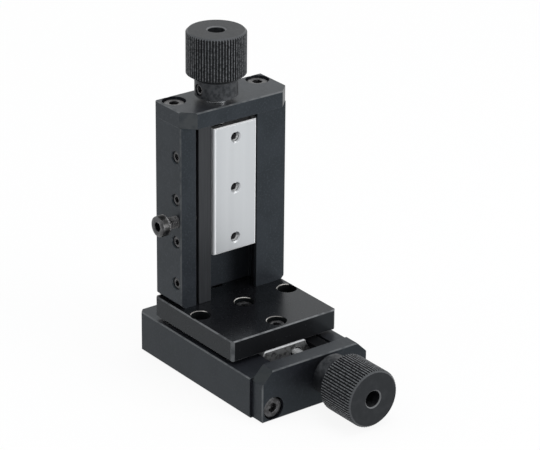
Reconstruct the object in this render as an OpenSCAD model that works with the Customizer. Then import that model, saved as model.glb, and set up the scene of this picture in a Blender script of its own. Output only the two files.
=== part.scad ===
// Two-axis translation stage: a lower slide unit carries a table, and the same slide unit stands on
// that table as a column. The lower one travels along X and the column's one along Z.
// The origin is the middle of the lower body's underside. X points at the lower knob, Z points up.

/* [Slide bodies] */
// Length of the lower slide's body
x_body_len = 61.5; // [59:0.5:70]
// Length of the column's body
z_body_len = 63; // [61:0.5:80]
// Width of the column's body, of both end plates and of the table
body_w = 42; // [42:0.5:48]
// Extra width of the lower body on its plain side
base_ledge = 0.9; // [0.2:0.1:3]
// Height of a body from its back to its face
body_h = 14; // [13.8:0.1:15]
// Thickness of the channel floor
floor_t = 5.4; // [5:0.1:5.8]
// Chamfer on the outer corners at a body's far end
far_chamfer = 1.5; // [0.5:0.1:2]
// Chamfer that breaks the long edges
edge_chamfer = 0.4; // [0.1:0.1:0.6]

/* [Carriages] */
// Length of a carriage
carriage_len = 44; // [43:0.5:46]
// Width of a carriage at its face
carriage_w = 17; // [16.6:0.1:17.4]
// Height of a carriage's face above the body's face
carriage_proud = 1; // [0.4:0.1:1.2]
// Radius of a carriage's long upper edges
carriage_edge = 1; // [0.4:0.1:1]
// Chamfer across a carriage's two ends
carriage_end_edge = 0.4; // [0.2:0.1:0.8]
// Space between a carriage and the channel floor
under_gap = 1.8; // [1.4:0.1:2]
// Angle of the dovetail's flanks
dove_angle = 60; // [56:1:66]
// Running clearance on the dovetail's flanks
slide_play = 0.03; // [0.01:0.01:0.06]
// Pitch of the tapped holes along a carriage
hole_pitch = 17.5; // [16:0.5:18.5]
// Distance of a carriage's first hole from its knob end
hole_margin = 4.6; // [3.4:0.1:4.8]
// Least distance of a carriage's last hole from its far end
hole_end_least = 3; // [2:0.1:3.2]
// Depth of the tapped holes
hole_depth = 5.6; // [4:0.1:6]
// Space between the lower carriage and its end plate
x_carriage_room = 10.5; // [5.5:0.1:16.5]
// Space between the column's carriage and its end plate
z_carriage_room = 2.7; // [2.4:0.1:15]

/* [Gib] */
// Width of the gib bar at the face
gib_w = 4.8; // [4.6:0.1:5]
// Gap between a carriage and the gib at the face
gib_gap = 0.6; // [0.4:0.1:1]
// Gap between a carriage and the plain wall at the face
wall_gap = 0.8; // [0.4:0.1:1.2]
// Slot between the gib and the wall that holds its screws
gib_slot = 1.1; // [0.8:0.1:1.3]
// Pitch of the gib's set screws
gib_screw_pitch = 14.7; // [12:0.1:16]
// Distance of the first gib screw from the body's far end
gib_screw_first = 8.3; // [6:0.1:10]
// Least distance of the last gib screw from the end plate
gib_screw_end_least = 4; // [3:0.1:6]
// Height of the gib's set screws above the back
gib_screw_h = 11.2; // [9.6:0.1:11.2]
// Height of the clamp screw above the back
clamp_screw_h = 11.5; // [9.6:0.1:11.6]
// Length of the clamp screw under its head
clamp_screw_len = 11.3; // [10:0.1:16]
// Height of the clamp screw's low head
clamp_head_h = 3.2; // [2.6:0.1:4]

/* [End plates] */
// Thickness of an end plate
plate_t = 5.5; // [5.2:0.1:8]
// Height of an end plate
plate_h = 17.5; // [17:0.1:20]
// Chamfer on an end plate's two upper corners
plate_chamfer = 4.2; // [2:0.1:5]
// Distance of an end plate's screws from the middle
end_screw_at = 16.5; // [16.3:0.1:16.6]
// Height of an end plate's screws above the back
end_screw_h = 4.2; // [4.2:0.1:4.5]
// Diameter of the counterbores for an end plate's screws
end_seat_d = 7.8; // [7.4:0.1:8]
// Depth of the counterbores for an end plate's screws
end_seat_depth = 4.6; // [4:0.1:4.8]

/* [Feed screws] */
// Height of the feed screw's axis above the back
axis_h = 10.8; // [10.4:0.1:10.9]
// Distance of the feed screw's axis from the middle, towards the gib
axis_offset = 4.7; // [4.5:0.1:4.9]
// Diameter of the feed thread
thread_d = 4; // [3.4:0.1:4]
// Reach of the feed screw into the body
thread_reach = 28; // [26:0.5:32]
// Diameter of the journal in the bush and the hub
journal_d = 5; // [4.4:0.1:5.2]
// Diameter of the collar that takes the thrust
collar_d = 7; // [6:0.1:8]
// Thickness of the collar
collar_t = 1; // [0.6:0.1:1.2]
// Outer diameter of the bush
bush_d = 7; // [6.4:0.1:8]
// Diameter of the bush's flange
bush_flange_d = 8.4; // [8.2:0.1:9]
// Thickness of the bush's flange
bush_flange_t = 0.8; // [0.5:0.1:1]
// Outer diameter of the feed nut
nut_d = 5.6; // [5:0.1:5.8]
// Length of the feed nut
nut_len = 12; // [8:0.5:14]
// Metal left in front of the nut at the carriage's end
nut_lip = 2; // [1:0.1:4]
// Radial running clearance of the feed screws
run_play = 0.03; // [0.01:0.01:0.08]
// Outer diameter of the thrust washer under the hub
washer_d = 8; // [7:0.1:10]
// Thickness of the thrust washer under the hub
washer_t = 1.5; // [0.8:0.1:2]

/* [Knobs] */
// Diameter of the knurled head
knob_d = 19.5; // [16:0.5:20.5]
// Length of the knurled head
knob_len = 16; // [10:0.1:20]
// Number of grooves in the straight knurl
knurl_count = 64; // [40:4:80]
// Depth of the knurl
knurl_depth = 0.4; // [0.2:0.05:0.5]
// Chamfer at the knob's outer face
knob_chamfer = 0.7; // [0.2:0.1:1]
// Length of the cone between the knurled head and the hub
knob_back_chamfer = 1.8; // [0.4:0.1:2]
// Diameter of the hub
hub_d = 14; // [12:0.5:15]
// Length of the hub
hub_len = 5.9; // [5:0.1:10]
// Diameter of the bore in the knob's outer face
knob_bore_d = 5.6; // [5.4:0.1:8]
// Depth of the bore in the knob's outer face
knob_bore_depth = 12; // [8:0.5:14]

/* [Table] */
// Length of the table along the travel
table_len = 43; // [42.5:0.5:48]
// Thickness of the table
table_t = 7.2; // [6.8:0.1:10]
// Chamfer on the table's upright edges
table_chamfer = 1; // [0.5:0.1:2]
// Distance of the two side holes from the middle
side_hole_at = 17.5; // [14:0.1:17.5]
// Offset of the column's middle from the table's middle, away from the column's gib
column_offset = 0.7; // [0:0.1:0.9]
// Distance of the column's foot screw from the column's middle on its plain side
foot_screw_at = 15; // [14.6:0.1:15.8]
// Height of the column's foot screws above its back
foot_screw_h = 4.5; // [4.4:0.1:4.6]

/* [Base mounting holes] */
// Pitch of the base's tapped holes along the travel
base_pitch_x = 25; // [20:1:28]
// Pitch of the base's tapped holes across the travel
base_pitch_y = 36; // [35.6:0.1:36.4]
// Depth of the base's tapped holes
base_hole_depth = 7; // [4:0.5:8]

/* [Hidden] */
$fn = 64;

// Metric screws: thread, head, head height, socket across corners, socket depth
m4_d = 4;
m4_head_d = 7;
m4_head_h = 4;
m4_socket_d = 3.46;
m4_socket_depth = 2;
m4_seat_d = 8;
m4_seat_depth = 4.2;
m4_pass_d = 4.4;
m4_base_drill_d = 3.3;
m3_d = 3;
m3_head_d = 5.5;
m3_head_h = 3;
m3_socket_d = 2.88;
m3_socket_depth = 1.5;
m3_seat_d = 6.4;
m3_seat_depth = 4.1;
m3_pass_d = 3.4;
m3_mouth = 0.45;
set_hole_mouth = 0.3;
set_socket_d = 2.3;
set_socket_depth = 2;
set_point = 0.6;
set_recess = 0.45;
set_mouth = 0.25;
head_edge = 0.35;
thread_ease = 0.02;
end_screw_len = 12;
end_hole_depth = 14;
column_screw_len = 16;
table_screw_len = 8;

// Small sizes of the pieces
root_relief = 0.2;
carriage_foot = 0.5;
slot_foot = 0.6;
slot_ease = 0.1;
lip_ease = 0.35;
gib_lift = 0.05;
gib_end_gap = 0.1;
shoulder_play = 0.05;
bush_edge = 0.3;
screw_edge = 0.4;
bore_edge = 0.35;
seat_edge = 0.2;
shaft_in_knob = 2;
knurl_flat_share = 0.35;
edge_steps = 6;
over = 1;

// Places along a slide unit, in its own axes: s along the travel, t towards the gib, n off the back
half_w = body_w / 2;
face_n = body_h + carriage_proud;
dove_n = face_n - carriage_edge;
carriage_n = floor_t + under_gap;
root_n = carriage_n - root_relief;
flank_play = slide_play / sin(dove_angle);
gib_in = carriage_w / 2 + gib_gap;
gib_out = gib_in + gib_w;
gib_wall = gib_out + gib_slot;
plain_wall = carriage_w / 2 + wall_gap;
x_carriage_at = x_body_len - x_carriage_room - carriage_len;
z_carriage_at = z_body_len - z_carriage_room - carriage_len;
hole_count = floor((carriage_len - hole_margin - hole_end_least) / hole_pitch) + 1;
table_s = x_carriage_at + carriage_len - table_len;
table_top = face_n + table_t;
end_places = [end_screw_at, -end_screw_at];
foot_places = [end_screw_at, -foot_screw_at];
knob_r = knob_d / 2;
hub_at = plate_t + washer_t + 2 * shoulder_play;

// Half width of the dovetail at height n
function flank(n) = carriage_w / 2 + (dove_n - n) / tan(dove_angle);
// Height at which a flank stands t from the middle
function flank_n(t) = dove_n - (t - carriage_w / 2) * tan(dove_angle);

// Place of a carriage's tapped hole, counted from its knob end
function hole_s(i) = carriage_len - hole_margin - i * hole_pitch;
// Number of gib screws that a body takes, and the place of each
function gib_screw_count(len) = floor((len - gib_screw_first - gib_screw_end_least) / gib_screw_pitch) + 1;
function gib_screw_s(i) = gib_screw_first + i * gib_screw_pitch;
// Place of the clamp screw, halfway between the two middle gib screws
function clamp_s(len) = let (i = floor(gib_screw_count(len) / 2)) (gib_screw_s(i - 1) + gib_screw_s(i)) / 2;

// Outline of a body across its travel
function body_outline(ledge) = let (plain = -half_w - ledge, e = edge_chamfer, foot = floor_t + slot_foot)
  [[plain, e], [plain + e, 0], [half_w - e, 0], [half_w, e], [half_w, body_h - e], [half_w - e, body_h],
   [gib_wall, body_h], [gib_wall, foot], [gib_out + slot_ease, foot], [gib_out + slot_ease, floor_t],
   [-flank(root_n) - flank_play, floor_t], [-flank(root_n) - flank_play, root_n],
   [-plain_wall, flank_n(plain_wall - flank_play)], [-plain_wall, body_h],
   [plain + e, body_h], [plain, body_h - e]];

// Outline of the gib bar
function gib_outline() =
  [[gib_out, floor_t + gib_lift], [gib_out, body_h], [gib_in, body_h],
   [gib_in, flank_n(gib_in - flank_play)], [flank(root_n) + flank_play, root_n],
   [flank(root_n) + flank_play, floor_t + gib_lift]];

// Rounded upper edge of a carriage, on the side given, in small steps from the flank to the face
function carriage_round(side) =
  [for (i = [0 : edge_steps]) let (a = 90 * i / edge_steps)
    [side * (carriage_w / 2 - carriage_edge + carriage_edge * cos(a)), dove_n + carriage_edge * sin(a)]];

// Outline of a carriage, up one side and down the other
function carriage_outline() = let (foot_n = carriage_n + carriage_foot, foot_t = flank(foot_n),
                                   left = carriage_round(-1))
  concat([[-foot_t, carriage_n], [foot_t, carriage_n], [foot_t, foot_n]], carriage_round(1),
         [for (i = [0 : edge_steps]) left[edge_steps - i]], [[-foot_t, foot_n]]);

// Outline of a carriage along its travel, with its two ends broken at the face
function carriage_side() = let (e = carriage_end_edge)
  [[0, carriage_n - over], [carriage_len, carriage_n - over], [carriage_len, face_n - e],
   [carriage_len - e, face_n], [e, face_n], [0, face_n - e]];

// Outline of an end plate
function plate_outline() = let (e = edge_chamfer, c = plate_chamfer)
  [[-half_w, e], [-half_w + e, 0], [half_w - e, 0], [half_w, e],
   [half_w, plate_h - c], [half_w - c, plate_h], [-half_w + c, plate_h], [-half_w, plate_h - c]];

// A rectangle from low to high with its corners cut by c
function cut_rectangle(low, high, c) =
  [[low[0] + c, low[1]], [high[0] - c, low[1]], [high[0], low[1] + c], [high[0], high[1] - c],
   [high[0] - c, high[1]], [low[0] + c, high[1]], [low[0], high[1] - c], [low[0], low[1] + c]];

// Extrudes an outline of t and n along the travel
module along(len, outline) {
  rotate([90, 0, 90])
    linear_extrude(len)
      polygon(outline);
}

// A round bar along the travel, from s0 to s1
module bar_s(s0, s1, d) {
  translate([s0, 0, 0])
    rotate([0, 90, 0])
      cylinder(d = d, h = s1 - s0);
}

// Turns a piece drawn on +Z so that it points along the travel
module point_s() {
  rotate([0, 90, 0])
    children();
}

// Turns a piece drawn on +Z so that it points at the gib side
module point_t() {
  rotate([-90, 0, 0])
    children();
}

// Puts a piece of the lower unit in its place
module in_x() {
  translate([-x_body_len / 2, 0, 0])
    children();
}

// Puts a piece of the column in its place, with its travel up and its face forward
module in_z() {
  translate([table_s - x_body_len / 2, column_offset, table_top])
    rotate(180, [1, 0, 1])
      children();
}

// A block with every edge broken: upright edges by c, the others by e
module broken_block(low, high, c, e) {
  intersection() {
    translate([0, 0, low[2]])
      linear_extrude(high[2] - low[2])
        polygon(cut_rectangle([low[0], low[1]], [high[0], high[1]], c));
    translate([low[0], 0, 0])
      along(high[0] - low[0], cut_rectangle([low[1], low[2]], [high[1], high[2]], e));
    translate([0, high[1], 0])
      rotate([90, 0, 0])
        linear_extrude(high[1] - low[1])
          polygon(cut_rectangle([low[0], low[2]], [high[0], high[2]], e));
  }
}

// A socket head cap screw with its seat at the origin and its head up
module cap_screw(d, len, head_d, head_h, socket_d, socket_depth) {
  difference() {
    rotate_extrude()
      polygon([[0, -len], [d / 2 - screw_edge, -len], [d / 2, -len + screw_edge], [d / 2, 0],
               [head_d / 2, 0], [head_d / 2, head_h - head_edge],
               [head_d / 2 - head_edge, head_h], [0, head_h]]);
    translate([0, 0, head_h - socket_depth])
      cylinder(d = socket_d, h = socket_depth + over, $fn = 6);
  }
}

// A socket set screw with its outer face at the origin and its point down
module set_screw(d, len) {
  difference() {
    rotate_extrude()
      polygon([[0, -len], [d / 2 - set_point, -len], [d / 2, -len + set_point],
               [d / 2, -set_mouth], [d / 2 - set_mouth, 0], [0, 0]]);
    translate([0, 0, -set_socket_depth])
      cylinder(d = set_socket_d, h = set_socket_depth + over, $fn = 6);
  }
}

// Holes in one end of a body for M4 screws at the places and height given, bored in from s towards dir
module end_holes(s, dir, places, n) {
  for (t = places)
    translate([s, t, n])
      rotate([0, dir * 90, 0])
        translate([0, 0, -over])
          cylinder(d = m4_d, h = end_hole_depth + over);
}

// Holes through the gib's wall for the set screws and the clamp screw
module gib_holes(len) {
  for (i = [0 : gib_screw_count(len) - 1]) {
    translate([gib_screw_s(i), gib_wall - over, gib_screw_h])
      point_t()
        cylinder(d = m4_d, h = half_w - gib_wall + 2 * over);
    translate([gib_screw_s(i), half_w, gib_screw_h])
      point_t()
        rotate_extrude()
          polygon([[0, -set_hole_mouth], [m4_d / 2, -set_hole_mouth],
                   [m4_d / 2 + set_hole_mouth + over, over], [0, over]]);
  }
  translate([clamp_s(len), gib_wall - over, clamp_screw_h])
    point_t()
      cylinder(d = m4_d, h = half_w - gib_wall + 2 * over);
}

// The channel-shaped body of a slide unit, without its base holes
module slide_body(len, ledge) {
  difference() {
    intersection() {
      along(len, body_outline(ledge));
      linear_extrude(body_h)
        polygon([[0, -half_w - ledge + far_chamfer], [far_chamfer, -half_w - ledge],
                 [len, -half_w - ledge], [len, half_w], [far_chamfer, half_w],
                 [0, half_w - far_chamfer]]);
    }
    end_holes(len, -1, end_places, end_screw_h);
    gib_holes(len);
  }
}

// The lower body, with four tapped holes in its underside
module x_body() {
  color("#2c2d30")
    in_x()
      difference() {
        slide_body(x_body_len, base_ledge);
        for (i = [-1, 1], j = [-1, 1])
          translate([x_body_len / 2 + i * base_pitch_x / 2, j * base_pitch_y / 2, -over])
            cylinder(d = m4_base_drill_d, h = base_hole_depth + over);
      }
}

// The column's body, with two tapped holes in its foot
module z_body() {
  color("#2c2d30")
    in_z()
      difference() {
        slide_body(z_body_len, 0);
        end_holes(0, 1, foot_places, foot_screw_h);
      }
}

// The plate that closes a body and carries the feed screw
module end_plate(len) {
  translate([len, 0, 0])
    difference() {
      intersection() {
        along(plate_t, plate_outline());
        linear_extrude(plate_h)
          polygon([[0, -half_w], [plate_t - edge_chamfer, -half_w], [plate_t, -half_w + edge_chamfer],
                   [plate_t, half_w - edge_chamfer], [plate_t - edge_chamfer, half_w], [0, half_w]]);
        translate([0, half_w, 0])
          rotate([90, 0, 0])
            linear_extrude(body_w)
              polygon([[0, 0], [plate_t - edge_chamfer, 0], [plate_t, edge_chamfer],
                       [plate_t, plate_h - edge_chamfer], [plate_t - edge_chamfer, plate_h],
                       [0, plate_h]]);
      }
      translate([0, axis_offset, axis_h])
        bar_s(-over, plate_t + over, bush_d);
      for (t = end_places)
        translate([0, t, end_screw_h]) {
          bar_s(-over, plate_t + over, m4_pass_d);
          bar_s(plate_t - end_seat_depth, plate_t + over, end_seat_d);
        }
    }
}

module x_end_plate() {
  color("#2c2d30")
    in_x()
      end_plate(x_body_len);
}

module z_end_plate() {
  color("#2c2d30")
    in_z()
      end_plate(z_body_len);
}

// The two cap screws that hold an end plate
module end_plate_screws(len) {
  for (t = end_places)
    translate([len + plate_t - end_seat_depth, t, end_screw_h])
      point_s()
        cap_screw(m4_d - 2 * thread_ease, end_screw_len, m4_head_d, m4_head_h,
                  m4_socket_d, m4_socket_depth);
}

module x_end_plate_screws() {
  color("#1c1c1e")
    in_x()
      end_plate_screws(x_body_len);
}

module z_end_plate_screws() {
  color("#1c1c1e")
    in_z()
      end_plate_screws(z_body_len);
}

// The flanged bush that the feed screw turns in, pressed in from inside the channel
module bush(len) {
  translate([len, axis_offset, axis_h])
    point_s()
      rotate_extrude()
        polygon([[journal_d / 2 + run_play, -bush_flange_t], [bush_flange_d / 2, -bush_flange_t],
                 [bush_flange_d / 2, 0], [bush_d / 2, 0], [bush_d / 2, plate_t - bush_edge],
                 [bush_d / 2 - bush_edge, plate_t], [journal_d / 2 + run_play, plate_t]]);
}

module x_bush() {
  color("#b08d57")
    in_x()
      bush(x_body_len);
}

module z_bush() {
  color("#b08d57")
    in_z()
      bush(z_body_len);
}

// The gib bar that takes up the dovetail's play
module gib(len) {
  translate([gib_end_gap, 0, 0])
    along(len - 2 * gib_end_gap, gib_outline());
}

module x_gib() {
  color("#3a3a3d")
    in_x()
      gib(x_body_len);
}

module z_gib() {
  color("#3a3a3d")
    in_z()
      gib(z_body_len);
}

// The set screws that press the gib
module gib_screws(len) {
  for (i = [0 : gib_screw_count(len) - 1])
    translate([gib_screw_s(i), half_w - set_recess, gib_screw_h])
      point_t()
        set_screw(m4_d - 2 * thread_ease, half_w - set_recess - gib_out);
}

module x_gib_screws() {
  color("#1c1c1e")
    in_x()
      gib_screws(x_body_len);
}

module z_gib_screws() {
  color("#1c1c1e")
    in_z()
      gib_screws(z_body_len);
}

// The cap screw that clamps a carriage through the gib
module clamp_screw(len) {
  translate([clamp_s(len), gib_out + shoulder_play + clamp_screw_len, clamp_screw_h])
    point_t()
      cap_screw(m4_d - 2 * thread_ease, clamp_screw_len, m4_head_d, clamp_head_h,
                m4_socket_d, m4_socket_depth);
}

module x_clamp_screw() {
  color("#1c1c1e")
    in_x()
      clamp_screw(x_body_len);
}

module z_clamp_screw() {
  color("#1c1c1e")
    in_z()
      clamp_screw(z_body_len);
}

// The washer between an end plate and the knob's hub
module thrust_washer(len) {
  translate([len + plate_t + shoulder_play, axis_offset, axis_h])
    point_s()
      difference() {
        cylinder(d = washer_d, h = washer_t);
        translate([0, 0, -over])
          cylinder(d = journal_d + 2 * run_play, h = washer_t + 2 * over);
      }
}

module x_thrust_washer() {
  color("#c9c9c6")
    in_x()
      thrust_washer(x_body_len);
}

module z_thrust_washer() {
  color("#c9c9c6")
    in_z()
      thrust_washer(z_body_len);
}

// The feed screw: thread, collar inside the end plate, and journal that ends inside the knob
module feed_screw(len) {
  collar_s = -bush_flange_t - shoulder_play;
  end_s = hub_at + hub_len + shaft_in_knob;
  translate([len, axis_offset, axis_h])
    point_s()
      rotate_extrude()
        polygon([[0, -thread_reach], [thread_d / 2 - screw_edge, -thread_reach],
                 [thread_d / 2, -thread_reach + screw_edge], [thread_d / 2, collar_s - collar_t],
                 [collar_d / 2, collar_s - collar_t], [collar_d / 2, collar_s],
                 [journal_d / 2, collar_s], [journal_d / 2, end_s - screw_edge],
                 [journal_d / 2 - screw_edge, end_s], [0, end_s]]);
}

module x_feed_screw() {
  color("#c4c6c8")
    in_x()
      feed_screw(x_body_len);
}

module z_feed_screw() {
  color("#c4c6c8")
    in_z()
      feed_screw(z_body_len);
}

// Outline of the straight knurl, with a flat crest and a sharp root in each pitch
function knurl_outline() = let (step = 360 / knurl_count, flat = step * knurl_flat_share / 2)
  [for (i = [0 : knurl_count - 1], k = [0 : 2])
    let (a = i * step + (k == 0 ? -flat : k == 1 ? flat : step / 2),
         r = k == 2 ? knob_r - knurl_depth : knob_r)
      [r * cos(a), r * sin(a)]];

// The knob: a knurled head, a plain hub, and a bore right through
module knob(len) {
  head_at = hub_at + hub_len;
  top_at = head_at + knob_len;
  hub_mid = hub_at + hub_len / 2;
  cone_rise = knob_back_chamfer / (knob_r - hub_d / 2);
  translate([len, axis_offset, axis_h])
    point_s()
      difference() {
        union() {
          translate([0, 0, hub_at])
            rotate_extrude()
              polygon([[0, 0], [hub_d / 2 - edge_chamfer, 0], [hub_d / 2, edge_chamfer],
                       [hub_d / 2, hub_len + over], [0, hub_len + over]]);
          intersection() {
            translate([0, 0, head_at])
              linear_extrude(knob_len)
                polygon(knurl_outline());
            translate([0, 0, head_at])
              rotate_extrude()
                polygon([[0, 0], [hub_d / 2, 0], [knob_r + over, knob_back_chamfer + over * cone_rise],
                         [knob_r + over, knob_len - knob_chamfer - over],
                         [knob_r - knob_chamfer, knob_len], [0, knob_len]]);
          }
        }
        translate([0, 0, hub_at - over])
          cylinder(d = journal_d + 2 * thread_ease, h = top_at - hub_at + 2 * over);
        translate([0, 0, top_at - knob_bore_depth])
          cylinder(d = knob_bore_d, h = knob_bore_depth + over);
        translate([0, 0, top_at])
          rotate_extrude()
            polygon([[0, -bore_edge], [knob_bore_d / 2, -bore_edge],
                     [knob_bore_d / 2 + bore_edge + over, over], [0, over]]);
        translate([0, 0, hub_mid])
          point_t()
            cylinder(d = m4_d, h = hub_d);
      }
}

module x_knob() {
  color("#242527")
    in_x()
      knob(x_body_len);
}

module z_knob() {
  color("#242527")
    in_z()
      knob(z_body_len);
}

// The set screw that locks a knob's hub on the shaft
module knob_set_screw(len) {
  translate([len + hub_at + hub_len / 2, axis_offset + hub_d / 2 - set_recess, axis_h])
    point_t()
      set_screw(m4_d - 2 * thread_ease, hub_d / 2 - set_recess - journal_d / 2);
}

module x_knob_set_screw() {
  color("#1c1c1e")
    in_x()
      knob_set_screw(x_body_len);
}

module z_knob_set_screw() {
  color("#1c1c1e")
    in_z()
      knob_set_screw(z_body_len);
}

// A dovetail carriage, with tapped holes in its face and a bore for the nut
module carriage(at) {
  nut_end = carriage_len - nut_lip;
  side_t = flank(carriage_n) + over;
  translate([at, 0, 0])
    difference() {
      intersection() {
        along(carriage_len, carriage_outline());
        translate([0, side_t, 0])
          rotate([90, 0, 0])
            linear_extrude(2 * side_t)
              polygon(carriage_side());
      }
      for (i = [0 : hole_count - 1])
        translate([hole_s(i), 0, face_n]) {
          translate([0, 0, -hole_depth])
            cylinder(d = m3_d, h = hole_depth + over);
          rotate_extrude()
            polygon([[0, -m3_mouth], [m3_d / 2, -m3_mouth], [m3_d / 2 + m3_mouth + over, over], [0, over]]);
        }
      translate([0, axis_offset, axis_h]) {
        bar_s(-over, nut_end, nut_d);
        bar_s(-over, carriage_len + over, thread_d + 2 * lip_ease);
      }
    }
}

module x_carriage() {
  color("#d6d8da")
    in_x()
      carriage(x_carriage_at);
}

module z_carriage() {
  color("#d6d8da")
    in_z()
      carriage(z_carriage_at);
}

// The bronze nut pressed into a carriage
module feed_nut(at) {
  translate([at + carriage_len - nut_lip - nut_len, axis_offset, axis_h])
    point_s()
      difference() {
        cylinder(d = nut_d, h = nut_len);
        translate([0, 0, -over])
          cylinder(d = thread_d + 2 * run_play, h = nut_len + 2 * over);
      }
}

module x_feed_nut() {
  color("#b08d57")
    in_x()
      feed_nut(x_carriage_at);
}

module z_feed_nut() {
  color("#b08d57")
    in_z()
      feed_nut(z_carriage_at);
}

// A stepped hole down through the table's top, with its rim broken
module stepped_hole() {
  translate([0, 0, table_top - m3_seat_depth])
    cylinder(d = m3_seat_d, h = m3_seat_depth + over);
  translate([0, 0, table_top])
    rotate_extrude()
      polygon([[0, -seat_edge], [m3_seat_d / 2, -seat_edge],
               [m3_seat_d / 2 + seat_edge + over, over], [0, over]]);
  translate([0, 0, face_n - over])
    cylinder(d = m3_pass_d, h = table_t + over);
}

// The table that rides on the lower carriage and carries the column
module table() {
  color("#232427")
    in_x()
      difference() {
        broken_block([table_s, -half_w, face_n], [table_s + table_len, half_w, table_top],
                     table_chamfer, edge_chamfer);
        for (i = [0 : hole_count - 1])
          translate([x_carriage_at + hole_s(i), 0, 0])
            stepped_hole();
        for (side = [-1, 1])
          translate([x_carriage_at + hole_s(1), side * side_hole_at, 0])
            stepped_hole();
        for (t = foot_places)
          translate([table_s + foot_screw_h, column_offset - t, face_n - over]) {
            cylinder(d = m4_pass_d, h = table_t + 2 * over);
            cylinder(d = m4_seat_d, h = m4_seat_depth + over);
          }
      }
}

// The screws that hold the table on the lower carriage
module table_screws() {
  color("#1c1c1e")
    in_x()
      for (i = [0 : hole_count - 1])
        translate([x_carriage_at + hole_s(i), 0, table_top - m3_seat_depth])
          cap_screw(m3_d - 2 * thread_ease, table_screw_len, m3_head_d, m3_head_h,
                    m3_socket_d, m3_socket_depth);
}

// The screws that hold the column, put in from under the table
module column_screws() {
  color("#1c1c1e")
    in_x()
      for (t = foot_places)
        translate([table_s + foot_screw_h, column_offset - t, face_n + m4_seat_depth])
          mirror([0, 0, 1])
            cap_screw(m4_d - 2 * thread_ease, column_screw_len, m4_head_d, m4_head_h,
                      m4_socket_d, m4_socket_depth);
}

x_body();
x_end_plate();
x_end_plate_screws();
x_bush();
x_gib();
x_gib_screws();
x_clamp_screw();
x_thrust_washer();
x_feed_screw();
x_knob();
x_knob_set_screw();
x_carriage();
x_feed_nut();
table();
table_screws();
column_screws();
z_body();
z_end_plate();
z_end_plate_screws();
z_bush();
z_gib();
z_gib_screws();
z_clamp_screw();
z_thrust_washer();
z_feed_screw();
z_knob();
z_knob_set_screw();
z_carriage();
z_feed_nut();
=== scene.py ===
import math

import bmesh
import bpy
from mathutils import Matrix, Vector


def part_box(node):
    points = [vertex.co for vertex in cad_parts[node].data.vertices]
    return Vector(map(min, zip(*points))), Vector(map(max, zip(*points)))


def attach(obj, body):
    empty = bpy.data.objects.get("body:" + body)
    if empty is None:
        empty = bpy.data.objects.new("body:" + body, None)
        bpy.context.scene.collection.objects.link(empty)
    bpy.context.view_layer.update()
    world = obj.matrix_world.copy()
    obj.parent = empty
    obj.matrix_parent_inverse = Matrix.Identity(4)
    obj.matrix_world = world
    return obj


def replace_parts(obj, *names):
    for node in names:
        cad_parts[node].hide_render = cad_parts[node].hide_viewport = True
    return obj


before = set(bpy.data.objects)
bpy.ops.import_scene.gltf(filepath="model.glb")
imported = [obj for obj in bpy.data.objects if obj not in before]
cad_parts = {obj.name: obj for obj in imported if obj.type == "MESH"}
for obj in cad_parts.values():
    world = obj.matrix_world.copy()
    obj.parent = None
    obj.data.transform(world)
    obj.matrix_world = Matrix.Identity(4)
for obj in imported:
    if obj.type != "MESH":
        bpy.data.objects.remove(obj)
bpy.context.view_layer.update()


# Camera
# A long lens far in front of the lower knob, a little to its left and looking down on the table, so
# that the two slides show almost without perspective. Lengths are in metres, except where a name
# ends in _mm.
mm = 0.001
aim_point = Vector((0, 0, 45 * mm))
camera_turn = math.radians(52.802)
camera_pitch = math.radians(23.797)
camera_roll = math.radians(0.547)
camera_distance = 870.28 * mm
aim_across = -7.11 * mm
aim_up = -4.72 * mm

back = Vector((math.sin(camera_turn) * math.cos(camera_pitch),
               -math.cos(camera_turn) * math.cos(camera_pitch),
               math.sin(camera_pitch)))
level_right = Vector((math.cos(camera_turn), math.sin(camera_turn), 0))
level_up = back.cross(level_right)
right = math.cos(camera_roll) * level_right + math.sin(camera_roll) * level_up
up = -math.sin(camera_roll) * level_right + math.cos(camera_roll) * level_up
film_mm = 36
lens_mm = 179.942
nearest = 0.01
farthest = 50
camera_data = bpy.data.cameras.new("camera")
camera_data.sensor_width = film_mm
camera_data.lens = lens_mm
camera_data.clip_start = nearest
camera_data.clip_end = farthest
camera = bpy.data.objects.new("camera", camera_data)
bpy.context.scene.collection.objects.link(camera)
camera_place = aim_point + camera_distance * back - aim_across * right - aim_up * up
camera.matrix_world = Matrix.Translation(camera_place) @ Matrix((right, up, back)).transposed().to_4x4()
bpy.context.scene.camera = camera
bpy.context.scene.view_settings.view_transform = "Standard"


# Studio
# A white floor disc under the stage, lit by an even white room and four large soft boxes. The
# sweep and the room show white to the eye and in reflections, and the floor keeps a faint shadow.
def seen_or_reflected(nodes, links):
    """A value that is 1 where the eye sees a thing itself, in a reflection or through a piece."""
    path = nodes.new("ShaderNodeLightPath")
    camera_or_gloss = nodes.new("ShaderNodeMath")
    camera_or_gloss.operation = "MAXIMUM"
    links.new(path.outputs["Is Camera Ray"], camera_or_gloss.inputs[0])
    links.new(path.outputs["Is Glossy Ray"], camera_or_gloss.inputs[1])
    either = nodes.new("ShaderNodeMath")
    either.operation = "MAXIMUM"
    links.new(camera_or_gloss.outputs[0], either.inputs[0])
    links.new(path.outputs["Is Transmission Ray"], either.inputs[1])
    return either.outputs[0]


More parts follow.
